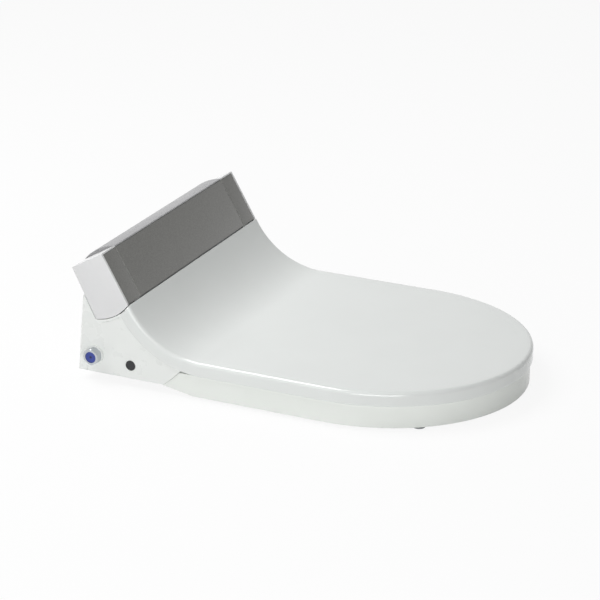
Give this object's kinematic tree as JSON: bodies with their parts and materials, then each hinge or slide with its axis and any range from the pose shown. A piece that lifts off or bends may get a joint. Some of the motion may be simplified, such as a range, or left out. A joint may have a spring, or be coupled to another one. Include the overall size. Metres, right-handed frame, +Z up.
{
  "type": "electric bidet seat",
  "caption": "Electric bidet toilet seat: bent lid and seat ring hinged to a rear unit with leaning control panel, sliding spray wand, warm-air dryer and side water inlet.",
  "frame": {"origin": "midway between the two seat fixing holes, on top of the toilet's ceramic (underside of the mounting plate)", "axes": "+X to the sitter's left as seen from the front, +Y towards the cistern, +Z up; the nose points along -Y"},
  "size_m": [0.3855, 0.5603, 0.1793],
  "materials": {
    "white_plastic": "glossy white moulded plastic",
    "lid_plastic": "glossy white moulded plastic, faintly blue",
    "end_plastic": "light grey satin plastic",
    "panel_metal": "dark grey metallic lacquer",
    "cover_grey": "mid grey satin plastic",
    "black_plastic": "black plastic",
    "grey_plastic": "grey engineering plastic",
    "rubber": "grey rubber",
    "chrome": "polished chrome plate",
    "blue_plug": "blue plastic",
    "steel": "plain steel",
    "brass": "brass",
    "board_green": "circuit board"
  },
  "bodies": {
    "base": {"mounting_plate": "grey_plastic", "base_tray": "grey_plastic", "base_shell": "white_plastic", "rear_cover": "white_plastic", "shell_bosses": "white_plastic", "case_screws": "steel", "control_box": "grey_plastic", "front_panel": "panel_metal", "top_cover": "cover_grey", "hinge_pins": "steel", "seat_damper": "black_plastic", "lid_damper": "black_plastic", "nozzle_housing": "white_plastic", "wand_motor": "steel", "wand_guide": "grey_plastic", "fan_casing": "grey_plastic", "fan_motor": "steel", "dryer_duct": "grey_plastic", "dryer_heater": "steel", "inlet_collar": "white_plastic", "inlet_nut": "chrome", "inlet_plug": "blue_plug", "inlet_pipe": "brass", "inlet_strainer": "steel", "power_inlet": "black_plastic", "solenoid_valve": "black_plastic", "water_heater": "grey_plastic", "water_pump": "black_plastic", "power_supply": "black_plastic", "control_board": "board_green", "supply_hose": "rubber", "button_bracket": "grey_plastic"},
    "seat": {"seat_ring": "white_plastic", "seat_base_plate": "white_plastic", "seat_heater": "steel", "seat_buffers": "rubber", "seat_hinge_bushes": "grey_plastic"},
    "lid": {"lid_shell": "lid_plastic", "lid_end_right": "end_plastic", "lid_end_left": "end_plastic", "end_strip_right": "panel_metal", "end_strip_left": "panel_metal", "lid_hinge_bushes": "grey_plastic", "lid_buffers": "rubber"},
    "wand": {"wand_tube": "white_plastic", "nozzle_head": "steel"},
    "pinion": {"drive_pinion": "grey_plastic"},
    "fan_wheel": {"impeller": "grey_plastic"},
    "button": {"release_button": "white_plastic"}
  },
  "joints": [
    {"name": "seat_lift", "type": "hinge", "parent": "base", "child": "seat", "pos_m": [0, 0.059, 0.1515], "axis": [-1, 0, 0], "range_deg": [0, 95]},
    {"name": "lid_lift", "type": "hinge", "parent": "seat", "child": "lid", "pos_m": [0, 0.059, 0.1515], "axis": [-1, 0, 0], "range_deg": [0, 100]},
    {"name": "wand_slide", "type": "slide", "parent": "base", "child": "wand", "axis": [0, -0.9703, -0.2419], "range_m": [0, 0.07]},
    {"name": "pinion_spin", "type": "hinge", "parent": "base", "child": "pinion", "pos_m": [0, -0.00409, 0.02221], "axis": [1, 0, 0], "range_deg": [0, 669.45]},
    {"name": "fan_spin", "type": "hinge", "parent": "base", "child": "fan_wheel", "pos_m": [0.08, 0.025, 0.049], "axis": [1, 0, 0], "continuous": true},
    {"name": "button_press", "type": "slide", "parent": "base", "child": "button", "axis": [-1, 0, 0], "range_m": [0, 0.005], "stiffness_N_per_m": 600, "springref_m": -0.001}
  ],
  "couplings": [
    {"joint": "pinion_spin", "follows": "wand_slide", "rad_per_m": 166.67}
  ]
}
